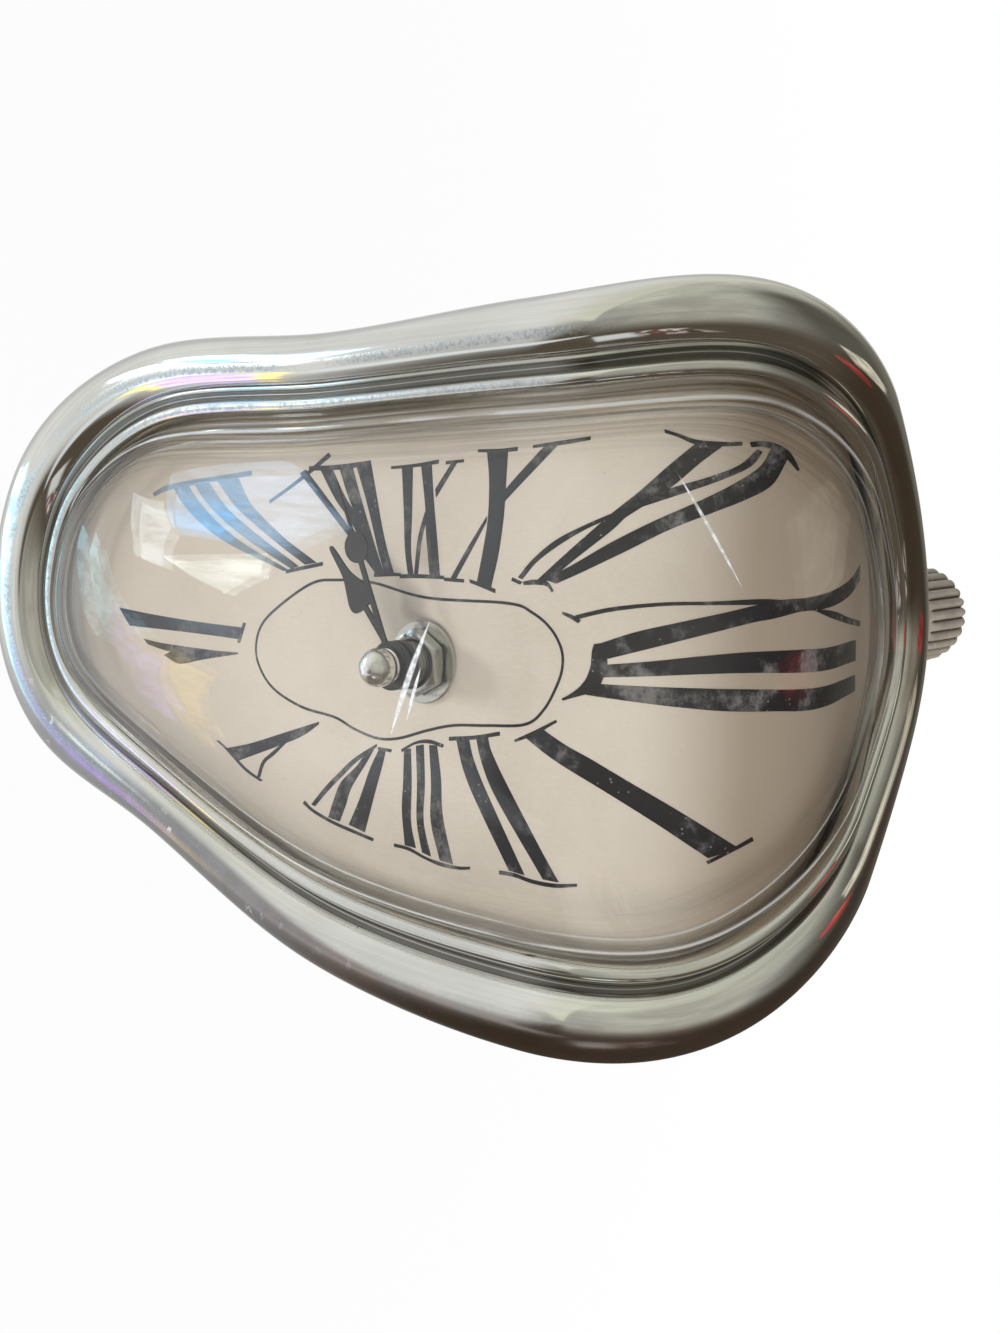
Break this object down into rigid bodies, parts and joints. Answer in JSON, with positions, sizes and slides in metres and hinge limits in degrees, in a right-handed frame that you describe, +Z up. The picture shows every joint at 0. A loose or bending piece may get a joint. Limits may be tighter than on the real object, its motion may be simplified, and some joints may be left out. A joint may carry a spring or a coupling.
{
  "type": "melted shelf clock",
  "caption": "Quartz clock with a drooping oval dial that bends over a shelf's edge, with a rounded rim, domed lens, two hands and a ribbed crown.",
  "frame": {"origin": "on the flat underside that rests on the shelf, 20 mm behind the shelf's edge and in line with the hands' axis", "axes": "+X right as seen from the front, +Y to the back, +Z up"},
  "size_m": [0.1286, 0.1119, 0.1797],
  "materials": {
    "rim_chrome": "plated plastic, glossy, with fine pits and worn bands",
    "case_black": "moulded, fine matte grain",
    "lens_clear": "clear formed plastic, glossy, a few scratches",
    "dial_paper": "printed card, cream, matte",
    "ballast_iron": "rough cast plate",
    "crown_paint": "satin, cream grey",
    "steel": "plain",
    "movement_grey": "moulded",
    "brass": "turned",
    "washer_rubber": "soft",
    "nut_plated": "nickel plated",
    "gear_white": "moulded acetal",
    "coil_copper": "enamelled winding",
    "board_green": "circuit board",
    "battery_jacket": "plain wrapped cell",
    "hand_black": "satin black"
  },
  "bodies": {
    "case": {"front_case": "rim_chrome", "back_case": "case_black", "lens": "lens_clear", "dial_sheet": "dial_paper", "dial_plate": "case_black", "ballast": "ballast_iron", "crown": "crown_paint", "crown_screw": "steel", "case_screw_1": "steel", "case_screw_2": "steel", "case_screw_3": "steel", "case_screw_4": "steel", "movement_case": "movement_grey", "movement_cover": "movement_grey", "threaded_bush": "brass", "rubber_washer": "washer_rubber", "dial_washer": "nut_plated", "hex_nut": "nut_plated", "stator": "steel", "coil": "coil_copper", "circuit_board": "board_green", "quartz_crystal": "nut_plated", "battery": "battery_jacket", "contact_plus": "steel", "contact_minus": "steel"},
    "minute_group": {"minute_hand": "hand_black", "cap_nut": "nut_plated", "centre_arbor": "steel"},
    "hour_group": {"hour_hand": "hand_black", "hour_wheel": "gear_white"},
    "minute_wheel_group": {"minute_wheel": "gear_white"},
    "setting_group": {"setting_knob": "gear_white"},
    "centre_group": {"centre_wheel": "gear_white"},
    "third_group": {"third_wheel": "gear_white"},
    "fourth_group": {"fourth_wheel": "gear_white"},
    "step_group": {"step_wheel": "gear_white"},
    "rotor_group": {"rotor": "gear_white"}
  },
  "joints": [
    {"name": "minute_turn", "type": "hinge", "parent": "case", "child": "minute_group", "pos_m": [0, -0.044, -0.035], "axis": [0, 1, 0], "continuous": true},
    {"name": "hour_turn", "type": "hinge", "parent": "case", "child": "hour_group", "pos_m": [0, -0.044, -0.035], "axis": [0, 1, 0], "continuous": true},
    {"name": "minute_wheel_turn", "type": "hinge", "parent": "case", "child": "minute_wheel_group", "pos_m": [0.01, -0.044, -0.035], "axis": [0, 1, 0], "continuous": true},
    {"name": "setting_turn", "type": "hinge", "parent": "case", "child": "setting_group", "pos_m": [0.01742, -0.044, -0.02757], "axis": [0, 1, 0], "continuous": true},
    {"name": "fourth_turn", "type": "hinge", "parent": "case", "child": "fourth_group", "pos_m": [0, -0.044, -0.035], "axis": [0, 1, 0], "continuous": true},
    {"name": "third_turn", "type": "hinge", "parent": "case", "child": "third_group", "pos_m": [-0.0056, -0.044, -0.02531], "axis": [0, 1, 0], "continuous": true},
    {"name": "centre_turn", "type": "hinge", "parent": "case", "child": "centre_group", "pos_m": [0, -0.044, -0.035], "axis": [0, 1, 0], "continuous": true},
    {"name": "step_turn", "type": "hinge", "parent": "case", "child": "step_group", "pos_m": [-0.01102, -0.044, -0.03306], "axis": [0, 1, 0], "continuous": true},
    {"name": "rotor_turn", "type": "hinge", "parent": "case", "child": "rotor_group", "pos_m": [-0.01948, -0.044, -0.03613], "axis": [0, 1, 0], "continuous": true}
  ],
  "couplings": [
    {"joint": "hour_turn", "follows": "minute_turn", "ratio": 0.083333},
    {"joint": "minute_wheel_turn", "follows": "minute_turn", "ratio": -0.33333},
    {"joint": "setting_turn", "follows": "minute_turn", "ratio": 0.83333},
    {"joint": "third_turn", "follows": "fourth_turn", "ratio": -0.13333},
    {"joint": "centre_turn", "follows": "fourth_turn", "ratio": 0.016667},
    {"joint": "step_turn", "follows": "fourth_turn", "ratio": -6},
    {"joint": "rotor_turn", "follows": "fourth_turn", "ratio": 30}
  ]
}
